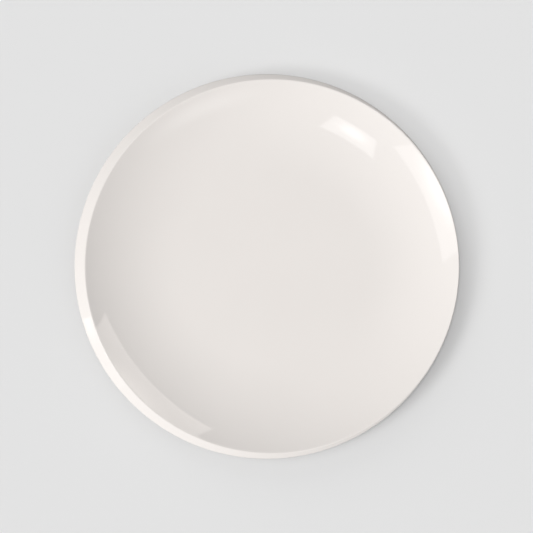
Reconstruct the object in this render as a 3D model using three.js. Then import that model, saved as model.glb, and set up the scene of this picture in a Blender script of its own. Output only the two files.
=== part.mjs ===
// Gourmet plate in white glazed porcelain, in millimetres, with +Z up.
// The foot stands on z = 0 and the outer circle of the plate is centred on the origin.
// The well is a turned dish whose axis lies a little towards +X, so the bevel outside its crest
// is a crescent: widest towards -X and almost nothing towards +X.
import * as THREE from 'three';

// Driving dimensions
const PLATE_DIAMETER = 320;
const RIM_HEIGHT = 22.6;
const WELL_FLOOR_DIAMETER = 160;
const WALL_ANGLE_AT_CREST = 23;
const BEVEL_WIDTH_MAX = 9.2;
const BEVEL_WIDTH_MIN = 0.5;
const BEVEL_ANGLE = 36;
const EDGE_THICKNESS = 3.2;
const FLOOR_THICKNESS = 5.0;
const FOOT_DIAMETER = 180;
const FOOT_HEIGHT = 3.2;
const FOOT_LAND_WIDTH = 2.8;
const FOOT_FLANK_ANGLE = 25;
const GLAZE_LINE_HEIGHT = 1.0;
const BACK_ANGLE_AT_FOOT = 3;
const BACK_ANGLE_AT_NARROW_RIM = 20;
const BACK_ANGLE_AT_WIDE_RIM = 0;
const GLAZE_THICKNESS = 0.3;

// How far each rounded corner starts from the sharp one, along either face
const CREST_SETBACK = 0.7;
const EDGE_SETBACK = 0.9;
const FOOT_ROOT_SETBACK = 1.1;
const FOOT_LAND_SETBACK = 0.5;
const SETBACK_SHARE_OF_FACE = 0.45;

// Facets
const SEGMENTS_AROUND = 72;
const STEPS_PER_CORNER = 2;
const STEPS_UP_WALL = 7;
const STEPS_UP_BACK = 5;

// Sizes of the fired body, which the glaze covers
const bodyRadius = PLATE_DIAMETER / 2 - GLAZE_THICKNESS;
const crestHeight = RIM_HEIGHT - GLAZE_THICKNESS;
const floorHeight = FOOT_HEIGHT + FLOOR_THICKNESS;
const wellShift = (BEVEL_WIDTH_MAX - BEVEL_WIDTH_MIN) / 2;
const crestRadius = PLATE_DIAMETER / 2 - (BEVEL_WIDTH_MAX + BEVEL_WIDTH_MIN) / 2;
const footFlankRun = FOOT_HEIGHT * slope(FOOT_FLANK_ANGLE);
const footInside = (FOOT_DIAMETER - FOOT_LAND_WIDTH) / 2;
const footOutside = (FOOT_DIAMETER + FOOT_LAND_WIDTH) / 2;

function slope(degrees) {
  return Math.tan(THREE.MathUtils.degToRad(degrees));
}

// Distance from the plate's axis to a circle of the well, at one azimuth.
function reachOfWellCircle(radius, azimuth) {
  const across = wellShift * Math.sin(azimuth);
  return wellShift * Math.cos(azimuth) + Math.sqrt(radius ** 2 - across ** 2);
}

// A curve that leaves one point and reaches the next at the given slopes.
function sweep(from, fromSlope, to, toSlope) {
  const third = (to.x - from.x) / 3;
  return new THREE.CubicBezierCurve(
    from,
    new THREE.Vector2(from.x + third, from.y + third * fromSlope),
    new THREE.Vector2(to.x - third, to.y - third * toSlope),
    to,
  );
}

// The points of a soft corner, between the corners before and after it.
function softCorner(before, corner, after, setback) {
  const startAt = Math.min(setback, SETBACK_SHARE_OF_FACE * corner.distanceTo(before));
  const endAt = Math.min(setback, SETBACK_SHARE_OF_FACE * corner.distanceTo(after));
  const start = before.clone().sub(corner).setLength(startAt).add(corner);
  const end = after.clone().sub(corner).setLength(endAt).add(corner);
  return new THREE.QuadraticBezierCurve(start, corner, end).getPoints(STEPS_PER_CORNER);
}

// Half of the body's cross-section at one azimuth, as points of radius and height.
// It runs from the axis under the base, round the foot, up the back, over the rim and down the
// wall of the well to the axis again, in three stretches: base, bare foot and the rest.
function bodySection(azimuth) {
  const crest = new THREE.Vector2(reachOfWellCircle(crestRadius, azimuth), crestHeight);
  const bevelWidth = bodyRadius - crest.x;
  const edgeTop = new THREE.Vector2(bodyRadius, crest.y - bevelWidth * slope(BEVEL_ANGLE));
  const edgeFoot = new THREE.Vector2(bodyRadius, edgeTop.y - EDGE_THICKNESS);

  const baseCentre = new THREE.Vector2(0, FOOT_HEIGHT);
  const innerRoot = new THREE.Vector2(footInside - footFlankRun, FOOT_HEIGHT);
  const innerLand = new THREE.Vector2(footInside, 0);
  const outerLand = new THREE.Vector2(footOutside, 0);
  const outerRoot = new THREE.Vector2(footOutside + footFlankRun, FOOT_HEIGHT);
  const innerGlazeLine = innerLand.clone().lerp(innerRoot, GLAZE_LINE_HEIGHT / FOOT_HEIGHT);
  const outerGlazeLine = outerLand.clone().lerp(outerRoot, GLAZE_LINE_HEIGHT / FOOT_HEIGHT);

  const wideShare = (crestRadius + wellShift - crest.x) / (2 * wellShift);
  const backAngle = THREE.MathUtils.lerp(BACK_ANGLE_AT_NARROW_RIM, BACK_ANGLE_AT_WIDE_RIM, wideShare);
  const back = sweep(outerRoot, slope(BACK_ANGLE_AT_FOOT), edgeFoot, slope(backAngle));
  const backPoints = back.getPoints(STEPS_UP_BACK).slice(1, -1);

  const floorEdge = new THREE.Vector2(reachOfWellCircle(WELL_FLOOR_DIAMETER / 2, azimuth), floorHeight);
  const wall = sweep(floorEdge, 0, crest, slope(WALL_ANGLE_AT_CREST));
  const wallPoints = wall.getPoints(STEPS_UP_WALL).reverse().slice(1);
  const floorCentre = new THREE.Vector2(0, floorHeight);

  const base = [
    baseCentre,
    ...softCorner(baseCentre, innerRoot, innerGlazeLine, FOOT_ROOT_SETBACK),
    innerGlazeLine,
  ];
  const foot = [
    ...softCorner(innerGlazeLine, innerLand, outerLand, FOOT_LAND_SETBACK),
    ...softCorner(innerLand, outerLand, outerGlazeLine, FOOT_LAND_SETBACK),
  ];
  const rest = [
    outerGlazeLine,
    ...softCorner(outerGlazeLine, outerRoot, backPoints[0], FOOT_ROOT_SETBACK),
    ...backPoints,
    ...softCorner(backPoints.at(-1), edgeFoot, edgeTop, EDGE_SETBACK),
    ...softCorner(edgeFoot, edgeTop, crest, EDGE_SETBACK),
    ...softCorner(edgeTop, crest, wallPoints[0], CREST_SETBACK),
    ...wallPoints,
    floorCentre,
  ];
  return { base, foot, rest };
}

// The same points moved out of the body by the glaze's thickness.
function glazeSurface(points) {
  return points.map((point, i) => {
    const into = point.clone().sub(points[i - 1] ?? points[i]).normalize();
    const outOf = (points[i + 1] ?? points[i]).clone().sub(point).normalize();
    const along = into.clone().add(outOf).normalize();
    const mitre = Math.max(along.dot(into), along.dot(outOf));
    const out = new THREE.Vector2(along.y, -along.x);
    return point.clone().addScaledVector(out, GLAZE_THICKNESS / mitre);
  });
}

// A coat of glaze, from its free edge on the foot to the axis on its outside, and back inside.
function coatSection(points) {
  return [...glazeSurface(points), ...points.toReversed()];
}

// Turns a closed cross-section that changes with the azimuth into a solid.
// Points on the axis stay single, and every other facet is split along its shorter diagonal, so
// that two solids which share a surface also share its triangles.
function turn(sectionAt) {
  const azimuths = Array.from({ length: SEGMENTS_AROUND }, (_, i) => (i / SEGMENTS_AROUND) * 2 * Math.PI);
  const sections = azimuths.map(sectionAt);
  const steps = sections[0].length;
  const points = sections.flatMap((section, i) => section.map(
    (p) => new THREE.Vector3(p.x * Math.cos(azimuths[i]), p.x * Math.sin(azimuths[i]), p.y),
  ));
  const onAxis = (step) => sections[0][step].x === 0;
  const index = (i, step) => (onAxis(step) ? step : (i % SEGMENTS_AROUND) * steps + step);
  const length = (from, to) => points[from].distanceTo(points[to]);

  const triangles = [];
  for (let i = 0; i < SEGMENTS_AROUND; i += 1) {
    for (let step = 0; step < steps; step += 1) {
      const next = (step + 1) % steps;
      const [a, b] = [index(i, step), index(i + 1, step)];
      const [d, c] = [index(i, next), index(i + 1, next)];
      if (onAxis(step) && onAxis(next)) continue;
      if (onAxis(step)) triangles.push(a, c, d);
      else if (onAxis(next)) triangles.push(a, b, c);
      else if (length(a, c) < length(b, d)) triangles.push(a, b, c, a, c, d);
      else triangles.push(a, b, d, b, c, d);
    }
  }
  const geometry = new THREE.BufferGeometry().setFromPoints(points);
  geometry.setIndex(triangles);
  geometry.computeVertexNormals();
  return geometry;
}

function addPiece(name, geometry, material) {
  const mesh = new THREE.Mesh(geometry, material);
  mesh.name = name;
  plate.add(mesh);
}

const plate = new THREE.Group();
const bisque = new THREE.MeshStandardMaterial({ color: '#ded9d2', roughness: 0.75, metalness: 0 });
const glaze = () => new THREE.MeshStandardMaterial({ color: '#e9e4e0', roughness: 0.08, metalness: 0 });

// The pressed and fired body, bare on the foot's bearing ring
addPiece('porcelain_body', turn((azimuth) => Object.values(bodySection(azimuth)).flat()), bisque);

// The coat over the well, rim and back, and the one on the base inside the foot ring
addPiece('main_glaze', turn((azimuth) => coatSection(bodySection(azimuth).rest)), glaze());
addPiece('base_glaze', turn((azimuth) => coatSection(bodySection(azimuth).base)), glaze());

export default plate;
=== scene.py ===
import math

import bpy
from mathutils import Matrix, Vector


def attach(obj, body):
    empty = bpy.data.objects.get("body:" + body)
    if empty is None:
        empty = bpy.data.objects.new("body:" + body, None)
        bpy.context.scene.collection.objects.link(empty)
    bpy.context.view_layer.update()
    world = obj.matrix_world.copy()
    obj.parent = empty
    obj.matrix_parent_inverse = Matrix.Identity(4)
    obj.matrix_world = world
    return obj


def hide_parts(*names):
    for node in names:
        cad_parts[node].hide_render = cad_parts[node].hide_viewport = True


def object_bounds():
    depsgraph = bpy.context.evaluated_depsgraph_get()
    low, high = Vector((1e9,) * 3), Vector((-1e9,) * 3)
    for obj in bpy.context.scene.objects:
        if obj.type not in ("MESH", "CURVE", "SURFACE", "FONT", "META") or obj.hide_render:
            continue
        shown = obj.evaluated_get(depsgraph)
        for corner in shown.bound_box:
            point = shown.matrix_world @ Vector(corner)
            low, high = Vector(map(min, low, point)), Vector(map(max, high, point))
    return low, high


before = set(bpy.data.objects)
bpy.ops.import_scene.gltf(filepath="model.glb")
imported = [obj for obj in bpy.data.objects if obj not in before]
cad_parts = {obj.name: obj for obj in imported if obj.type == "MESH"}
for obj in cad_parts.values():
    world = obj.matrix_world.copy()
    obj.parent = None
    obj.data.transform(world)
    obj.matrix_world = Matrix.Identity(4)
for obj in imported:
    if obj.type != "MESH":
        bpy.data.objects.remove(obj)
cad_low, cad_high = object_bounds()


# Porcelain body
# The plate itself is one piece of hard porcelain, pressed in a mould, trimmed on the wheel and fired white.
# Glaze hides all of it but the ring that it stands on, which is wiped clean and ground after the firing.

mm = 0.001
plate_radius = (cad_high.x - cad_low.x) / 2
glaze_thickness = 0.3 * mm
body_radius = plate_radius - glaze_thickness

# The well is turned about an axis that lies off the plate's own axis, so the bevel outside its crest is a
# crescent: widest towards -X and almost nothing towards +X.
bevel_width_max = 9.2 * mm
bevel_width_min = 0.5 * mm
bevel_angle = math.radians(36)
well_shift = (bevel_width_max - bevel_width_min) / 2
crest_radius = plate_radius - (bevel_width_max + bevel_width_min) / 2
crest_height = 22.29 * mm
crest_setback = 0.7 * mm
wall_angle_at_crest = math.radians(23)
well_floor_radius = 80 * mm
well_floor_height = 8.2 * mm

edge_thickness = 3.2 * mm
edge_setback = 0.6 * mm
back_angle_at_foot = math.radians(3)
back_angle_at_narrow_rim = math.radians(20)
back_angle_at_wide_rim = 0

foot_radius = 90 * mm
foot_height = 3.2 * mm
foot_land_width = 2.8 * mm
foot_flank_angle = math.radians(25)
foot_land_setback = 0.5 * mm
foot_root_setback = 1.1 * mm
glaze_line_height = 1.0 * mm
corner_share_of_face = 0.45

segments_around = 288
steps_up_wall = 44
steps_up_back = 22
steps_per_corner = 8
steps_up_flank = 12
rings_on_flat = 4
axis_tolerance = 1e-9


def reach_of_well_circle(radius, azimuth):
    """Distance from the plate's axis to a circle of the well."""
    across = well_shift * math.sin(azimuth)
    return well_shift * math.cos(azimuth) + math.sqrt(radius ** 2 - across ** 2)


def straight(start, end, steps):
    return [start.lerp(end, i / steps) for i in range(steps + 1)]


def sweep(start, start_angle, end, end_angle, steps):
    """A curve that leaves one point and reaches the next at the given angles."""
    third = (end.x - start.x) / 3
    handles = (
        start,
        Vector((start.x + third, start.y + third * math.tan(start_angle))),
        Vector((end.x - third, end.y - third * math.tan(end_angle))),
        end,
    )
    points = []
    for i in range(steps + 1):
        t = i / steps
        weights = ((1 - t) ** 3, 3 * t * (1 - t) ** 2, 3 * t ** 2 * (1 - t), t ** 3)
        points.append(sum((w * h for w, h in zip(weights, handles)), Vector((0, 0))))
    return points


def soft_corner(before, corner, after, setback):
    """The rounding of a corner. It takes no more than its share of the faces before and after it."""
    to_before, to_after = before - corner, after - corner
    start = corner + to_before.normalized() * min(setback, corner_share_of_face * to_before.length)
    end = corner + to_after.normalized() * min(setback, corner_share_of_face * to_after.length)
    points = []
    for i in range(steps_per_corner + 1):
        t = i / steps_per_corner
        points.append((1 - t) ** 2 * start + 2 * t * (1 - t) * corner + t ** 2 * end)
    return points


def body_section(azimuth):
    """Half of the body's section as points of radius and height: the base, the bare foot, and the rest."""
    crest = Vector((reach_of_well_circle(crest_radius, azimuth), crest_height))
    bevel_width = body_radius - crest.x
    edge_top = Vector((body_radius, crest_height - bevel_width * math.tan(bevel_angle)))
    edge_foot = Vector((body_radius, edge_top.y - edge_thickness))

    flank_run = foot_height * math.tan(foot_flank_angle)
    inner_land = Vector((foot_radius - foot_land_width / 2, 0))
    outer_land = Vector((foot_radius + foot_land_width / 2, 0))
    inner_root = inner_land + Vector((-flank_run, foot_height))
    outer_root = outer_land + Vector((flank_run, foot_height))
    inner_glaze_line = inner_land.lerp(inner_root, glaze_line_height / foot_height)
    outer_glaze_line = outer_land.lerp(outer_root, glaze_line_height / foot_height)

    wide_share = (crest_radius + well_shift - crest.x) / (2 * well_shift)
    back_angle = back_angle_at_narrow_rim + (back_angle_at_wide_rim - back_angle_at_narrow_rim) * wide_share
    back = sweep(outer_root, back_angle_at_foot, edge_foot, back_angle, steps_up_back)[1:-1]

    floor_edge = Vector((reach_of_well_circle(well_floor_radius, azimuth), well_floor_height))
    wall = sweep(floor_edge, 0, crest, wall_angle_at_crest, steps_up_wall)[-2::-1]
    floor = straight(floor_edge, Vector((0, well_floor_height)), rings_on_flat)[1:]

    base_centre = Vector((0, foot_height))
    base_corner = soft_corner(base_centre, inner_root, inner_land, foot_root_setback)
    base = straight(base_centre, base_corner[0], rings_on_flat)[:-1] + base_corner
    base += straight(base_corner[-1], inner_glaze_line, steps_up_flank)[1:]

    foot = soft_corner(inner_root, inner_land, outer_land, foot_land_setback)
    foot += soft_corner(inner_land, outer_land, outer_root, foot_land_setback)

    back_corner = soft_corner(outer_land, outer_root, back[0], foot_root_setback)
    rest = straight(outer_glaze_line, back_corner[0], steps_up_flank)[:-1] + back_corner + back
    rest += soft_corner(back[-1], edge_foot, edge_top, edge_setback)
    rest += soft_corner(edge_foot, edge_top, crest, edge_setback)
    rest += soft_corner(edge_top, crest, wall[0], crest_setback)
    rest += wall + floor
    return base, foot, rest


def turn(name, section_at):
    """A closed solid from a section that changes with the azimuth. Points on the axis stay single."""
    azimuths = [math.tau * i / segments_around for i in range(segments_around)]
    sections = [section_at(azimuth) for azimuth in azimuths]
    points, rings, faces = [], [], []
    for step in range(len(sections[0])):
        first = len(points)
        if sections[0][step].x < axis_tolerance:
            points.append((0, 0, sections[0][step].y))
            rings.append([first] * segments_around)
            continue
        for azimuth, section in zip(azimuths, sections):
            radius, height = section[step]
            points.append((radius * math.cos(azimuth), radius * math.sin(azimuth), height))
        rings.append(list(range(first, first + segments_around)))
    for ring, above in zip(rings, rings[1:] + rings[:1]):
        for i in range(segments_around):
            j = (i + 1) % segments_around
            face = list(dict.fromkeys((ring[i], ring[j], above[j], above[i])))
            if len(face) > 2:
                faces.append(face)
    mesh = bpy.data.meshes.new(name)
    mesh.from_pydata(points, [], faces)
    mesh.shade_smooth()
    piece = bpy.data.objects.new(name, mesh)
    bpy.context.scene.collection.objects.link(piece)
    return piece


def linear(code):
    """An sRGB hex colour as the linear colour that a shader takes."""
    shares = [int(code[i:i + 2], 16) / 255 for i in (1, 3, 5)]
    return [s / 12.92 if s <= 0.04045 else ((s + 0.055) / 1.055) ** 2.4 for s in shares] + [1]


def add_node(tree, kind, settings, links=()):
    """Adds a node, sets its options and sockets by name or number, and links what feeds it."""
    node = tree.nodes.new(kind)
    for key, value in settings.items():
        if isinstance(key, str) and key not in node.inputs:
            setattr(node, key, value)
        else:
            node.inputs[key].default_value = value
    for key, source in dict(links).items():
        tree.links.new(source, node.inputs[key])
    return node


# A Mix node keeps its colours in sockets 6 and 7 and gives the blend at output 2.
mix_a, mix_b, mix_out = 6, 7, 2


def bisque_porcelain():
    """Unglazed porcelain, fired and then ground flat: chalky and matt, cream where the kiln's flame has
    touched it, with a fine grit and the faint rings that the grinding left."""
    material = bpy.data.materials.new("bisque_porcelain_ground")
    material.use_nodes = True
    tree = material.node_tree
    tree.nodes.clear()
    place = add_node(tree, "ShaderNodeTexCoord", {}).outputs["Object"]

    flash_width = 9 * mm
    flash = add_node(tree, "ShaderNodeTexNoise", {"Scale": 1 / flash_width, "Detail": 3}, {"Vector": place})
    # The grit is nearer 0.05 mm, and is drawn coarser so that it shows.
    grit_size = 0.35 * mm
    grit = add_node(tree, "ShaderNodeTexNoise", {"Scale": 1 / grit_size, "Detail": 2}, {"Vector": place})
    flat = add_node(tree, "ShaderNodeVectorMath", {"operation": "MULTIPLY", 1: (1, 1, 0)}, {0: place})
    radius = add_node(tree, "ShaderNodeVectorMath", {"operation": "LENGTH"}, {0: flat.outputs[0]})
    ring_spacing = 0.3 * mm
    rings = add_node(
        tree, "ShaderNodeTexNoise", {"noise_dimensions": "1D", "Scale": 1 / ring_spacing, "Detail": 1},
        {"W": radius.outputs["Value"]},
    )

    tint = add_node(
        tree, "ShaderNodeMix", {"data_type": "RGBA", mix_a: linear("#e6e0d7"), mix_b: linear("#d9cfc1")},
        {0: flash.outputs["Fac"]},
    )
    speckle_share = 0.18
    speckled = add_node(
        tree, "ShaderNodeMix", {"data_type": "RGBA", "blend_type": "MULTIPLY", 0: speckle_share},
        {mix_a: tint.outputs[mix_out], mix_b: grit.outputs["Fac"]},
    )
    roughness = add_node(
        tree, "ShaderNodeMapRange", {"To Min": 0.72, "To Max": 0.92}, {"Value": grit.outputs["Fac"]},
    )
    ground = add_node(
        tree, "ShaderNodeBump", {"Strength": 0.5, "Distance": 0.03 * mm}, {"Height": rings.outputs["Fac"]},
    )
    gritty = add_node(
        tree, "ShaderNodeBump", {"Strength": 0.6, "Distance": 0.05 * mm},
        {"Height": grit.outputs["Fac"], "Normal": ground.outputs[0]},
    )
    shader = add_node(
        tree, "ShaderNodeBsdfPrincipled", {"IOR": 1.5, "Specular IOR Level": 0.35},
        {
            "Base Color": speckled.outputs[mix_out],
            "Roughness": roughness.outputs[0],
            "Normal": gritty.outputs[0],
        },
    )
    add_node(tree, "ShaderNodeOutputMaterial", {}, {"Surface": shader.outputs[0]})
    return material


body = turn("fired_body", lambda azimuth: sum(body_section(azimuth), []))
body.data.materials.append(bisque_porcelain())
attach(body, "root")
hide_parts("porcelain_body")


# Main glaze
# A coat of clear feldspar glaze over the well, the rim and the back, dipped on and melted to glass in the
# kiln. It ends in a rolled edge just above the foot's bearing ring, where the dip was sponged off.

glaze_roll = 0.55 * mm


def coat_section(points, free_end):
    """The section of a coat on these points, from its free edge or from the axis out to it, and back."""
    distance = [0]
    for point, after in zip(points, points[1:]):
        distance.append(distance[-1] + (after - point).length)
    outside = []
    for i, point in enumerate(points):
        before, after = points[max(i - 1, 0)], points[min(i + 1, len(points) - 1)]
        along = ((point - before).normalized() + (after - point).normalized()).normalized()
        from_edge = distance[i] if free_end == "first" else distance[-1] - distance[i]
        short_of_full = 1 - min(from_edge / glaze_roll, 1)
        thickness = glaze_thickness * math.sqrt(1 - short_of_full ** 2)
        outside.append(point + thickness * Vector((along.y, -along.x)))
    inside = points[1:] if free_end == "first" else points[:-1]
    return outside + inside[::-1]


def clear_glaze():
    """Transparent glaze on white porcelain, melted smooth: a warm white under a wet gloss. The surface is
    glass, but it lies in slow ripples where it ran, and is a touch greyer where it pooled."""
    material = bpy.data.materials.new("clear_glaze_on_porcelain")
    material.use_nodes = True
    tree = material.node_tree
    tree.nodes.clear()
    place = add_node(tree, "ShaderNodeTexCoord", {}).outputs["Object"]

    ripple_width = 24 * mm
    ripple = add_node(tree, "ShaderNodeTexNoise", {"Scale": 1 / ripple_width, "Detail": 1}, {"Vector": place})
    peel_width = 3.5 * mm
    peel = add_node(tree, "ShaderNodeTexNoise", {"Scale": 1 / peel_width, "Detail": 1}, {"Vector": place})
    pool_width = 60 * mm
    pool = add_node(tree, "ShaderNodeTexNoise", {"Scale": 1 / pool_width, "Detail": 2}, {"Vector": place})

    pooled = add_node(
        tree, "ShaderNodeMix", {"data_type": "RGBA", mix_a: linear("#e9e4e0"), mix_b: linear("#e6e1dd")},
        {0: pool.outputs["Fac"]},
    )
    roughness = add_node(
        tree, "ShaderNodeMapRange", {"To Min": 0.015, "To Max": 0.035}, {"Value": peel.outputs["Fac"]},
    )
    rippled = add_node(
        tree, "ShaderNodeBump", {"Strength": 1, "Distance": 0.012 * mm}, {"Height": ripple.outputs["Fac"]},
    )
    peeled = add_node(
        tree, "ShaderNodeBump", {"Strength": 1, "Distance": 0.0008 * mm},
        {"Height": peel.outputs["Fac"], "Normal": rippled.outputs[0]},
    )
    shader = add_node(
        tree, "ShaderNodeBsdfPrincipled", {"IOR": 1.5},
        {
            "Base Color": pooled.outputs[mix_out],
            "Roughness": roughness.outputs[0],
            "Normal": peeled.outputs[0],
        },
    )
    add_node(tree, "ShaderNodeOutputMaterial", {}, {"Surface": shader.outputs[0]})
    return material


glaze = clear_glaze()
main_coat = turn("main_glaze_coat", lambda azimuth: coat_section(body_section(azimuth)[2], "first"))
main_coat.data.materials.append(glaze)
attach(main_coat, "root")
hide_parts("main_glaze")


# Base glaze
# The same glaze on the base inside the foot ring, which the dip reaches as well.
# It keeps the underside from soaking up water, and ends on the ring's inner flank in the same rolled edge.

base_coat = turn("base_glaze_coat", lambda azimuth: coat_section(body_section(azimuth)[0], "last"))
base_coat.data.materials.append(glaze)
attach(base_coat, "root")
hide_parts("base_glaze")


# Floor
# A matt pale grey paper under the plate, lit evenly to its edges.
# A small part of its colour is its own light, for the camera and the gloss alone, and it takes the shadow.

floor_size = 12
floor_grey = linear("#e3e3e3")
floor_own_light = 0.15

half = floor_size / 2
corners = [(-half, -half, 0), (half, -half, 0), (half, half, 0), (-half, half, 0)]
floor_mesh = bpy.data.meshes.new("floor")
floor_mesh.from_pydata(corners, [], [(0, 1, 2, 3)])
floor = bpy.data.objects.new("floor", floor_mesh)
bpy.context.scene.collection.objects.link(floor)


def seen_or_mirrored(tree):
    """1 for a ray from the camera, or from a surface that mirrors or lets light through, and 0 for others."""
    ray = add_node(tree, "ShaderNodeLightPath", {}).outputs
    mirrored = add_node(
        tree, "ShaderNodeMath", {"operation": "MAXIMUM"},
        {0: ray["Is Glossy Ray"], 1: ray["Is Transmission Ray"]},
    )
    seen = add_node(
        tree, "ShaderNodeMath", {"operation": "MAXIMUM"}, {0: ray["Is Camera Ray"], 1: mirrored.outputs[0]},
    )
    return seen.outputs[0]


paper = bpy.data.materials.new("matt_paper")
paper.use_nodes = True
tree = paper.node_tree
tree.nodes.clear()
matt = add_node(tree, "ShaderNodeBsdfDiffuse", {"Color": floor_grey})
glow = add_node(tree, "ShaderNodeEmission", {"Color": floor_grey}, {"Strength": seen_or_mirrored(tree)})
sheet = add_node(
    tree, "ShaderNodeMixShader", {0: floor_own_light}, {1: matt.outputs[0], 2: glow.outputs[0]},
)
add_node(tree, "ShaderNodeOutputMaterial", {}, {"Surface": sheet.outputs[0]})
floor_mesh.materials.append(paper)


# Camera
# It looks straight down on the middle of the plate from well above, through a long lens.
# The plate fills as much of the frame as in the photograph, with the widest part of its bevel at the left.

frame_pixels = 533
plate_radius_pixels = 192.4
pixel = plate_radius / plate_radius_pixels
rim_level = 19 * mm

camera_data = bpy.data.cameras.new("camera")
camera_data.sensor_width = 36
camera_data.lens = 135
camera_height = rim_level + frame_pixels * pixel * camera_data.lens / camera_data.sensor_width
camera = bpy.data.objects.new("camera", camera_data)
camera.location = (0, 0, camera_height)
bpy.context.scene.collection.objects.link(camera)
bpy.context.scene.camera = camera


# Lamps
# The glaze mirrors the softboxes that stand round the plate. A large soft light that no gloss shows gives the
# plate its shading, and others like it light the floor and throw the plate's shadow to the right and below.

lamp_distance = 6
white_silk = linear("#ffffff")
warm_silk = linear("#fff7f1")


def receivers(name, pieces):
    """The set of pieces that a lamp lights."""
    lit = bpy.data.collections.new(name)
    for piece in pieces:
        lit.objects.link(piece)
    return lit


def towards(azimuth, zenith):
    """The direction of a lamp, by its azimuth and its angle from straight up, in degrees."""
    around, down = math.radians(azimuth), math.radians(zenith)
    return Vector((math.sin(down) * math.cos(around), math.sin(down) * math.sin(around), math.cos(down)))


plate_only = receivers("plate_only", (body, main_coat, base_coat))
floor_only = receivers("floor_only", (floor,))


def softbox(name, spot, azimuth, zenith, width, height, core, silk, brightness, rim_share):
    """A rectangular lamp that the glaze mirrors at one spot. Its silk is brightest at its core, given in
    shares of its sides, where a brightness of 1 is white, and falls to a share of that towards the rim."""
    fall_reach = 0.46
    lamp_data = bpy.data.lights.new(name, "AREA")
    lamp_data.shape = "RECTANGLE"
    lamp_data.size = width
    lamp_data.size_y = height
    lamp_data.energy = math.pi * width * height * brightness
    lamp_data.use_nodes = True
    tree = lamp_data.node_tree
    tree.nodes.clear()
    place = add_node(tree, "ShaderNodeNewGeometry", {}).outputs["Parametric"]
    off_core = add_node(
        tree, "ShaderNodeVectorMath", {"operation": "DISTANCE", 1: (*core, 0)}, {0: place},
    )
    fall = add_node(
        tree, "ShaderNodeMapRange",
        {"interpolation_type": "SMOOTHSTEP", "From Max": fall_reach, "To Min": 1, "To Max": rim_share},
        {"Value": off_core.outputs["Value"]},
    )
    glow = add_node(tree, "ShaderNodeEmission", {"Color": silk}, {"Strength": fall.outputs[0]})
    add_node(tree, "ShaderNodeOutputLight", {}, {"Surface": glow.outputs[0]})

    lamp = bpy.data.objects.new(name, lamp_data)
    lamp.location = Vector(spot) + lamp_distance * towards(azimuth, zenith)
    lamp.rotation_euler = (-towards(azimuth, zenith)).to_track_quat("-Z", "Y").to_euler()
    bpy.context.scene.collection.objects.link(lamp)
    lamp.light_linking.receiver_collection = plate_only
    lamp.visible_diffuse = False


softbox(
    "small_softbox", spot=(71 * mm, 111 * mm, 13 * mm), azimuth=239.1, zenith=23.2,
    width=0.8, height=0.88, core=(0.5, 0.42), silk=white_silk, brightness=5.4, rim_share=0.38,
)
softbox(
    "wide_softbox", spot=(136 * mm, 60 * mm, 18 * mm), azimuth=203, zenith=47,
    width=2.4, height=3.7, core=(0.56, 0.54), silk=white_silk, brightness=8, rim_share=0.19,
)
softbox(
    "edge_softbox", spot=(-143 * mm, -58 * mm, 18 * mm), azimuth=207.6, zenith=77,
    width=2.5, height=1.2, core=(0, 0.5), silk=white_silk, brightness=2.7, rim_share=0.13,
)
softbox(
    "fill_softbox", spot=(-105 * mm, -95 * mm, 12 * mm), azimuth=42.5, zenith=45,
    width=3.05, height=3.2, core=(0.5, 0.5), silk=warm_silk, brightness=6, rim_share=0.38,
)
softbox(
    "faint_softbox", spot=(-56 * mm, 130 * mm, 18 * mm), azimuth=295, zenith=33,
    width=3.4, height=1.6, core=(0.5, 0.5), silk=white_silk, brightness=1.2, rim_share=0,
)


def soft_light(name, lit, azimuth, zenith, spread, share):
    """A far lamp, as wide as its spread in degrees, that gives a level surface this share of its light."""
    lamp_data = bpy.data.lights.new(name, "SUN")
    lamp_data.angle = math.radians(spread)
    lamp_data.energy = math.pi * share / math.cos(math.radians(zenith))
    lamp = bpy.data.objects.new(name, lamp_data)
    lamp.rotation_euler = (-towards(azimuth, zenith)).to_track_quat("-Z", "Y").to_euler()
    bpy.context.scene.collection.objects.link(lamp)
    lamp.light_linking.receiver_collection = lit
    lamp.visible_glossy = False


soft_light("key_light", plate_only, azimuth=208.5, zenith=33.5, spread=30, share=0.905)
soft_light("steep_floor_light", floor_only, azimuth=152, zenith=6.7, spread=11, share=0.32)
soft_light("left_floor_light", floor_only, azimuth=202, zenith=46.7, spread=22, share=0.18)
soft_light("upper_left_floor_light", floor_only, azimuth=165, zenith=27, spread=30, share=0.186)
soft_light("upper_floor_light", floor_only, azimuth=117, zenith=61, spread=46, share=0.09)
soft_light("lower_right_floor_light", floor_only, azimuth=337, zenith=48, spread=68, share=0.122)


# Backdrop
# The studio round the plate, in the grey of the floor, which the camera and the glaze see.
# On everything else it throws only a little even light.

even_light = 0.1

world = bpy.data.worlds.new("studio")
world.use_nodes = True
tree = world.node_tree
tree.nodes.clear()
dim = add_node(tree, "ShaderNodeBackground", {"Color": white_silk, "Strength": even_light})
grey = add_node(tree, "ShaderNodeBackground", {"Color": floor_grey, "Strength": 1})
studio = add_node(
    tree, "ShaderNodeMixShader", {}, {0: seen_or_mirrored(tree), 1: dim.outputs[0], 2: grey.outputs[0]},
)
add_node(tree, "ShaderNodeOutputWorld", {}, {"Surface": studio.outputs[0]})
bpy.context.scene.world = world
bpy.context.scene.view_settings.view_transform = "Standard"
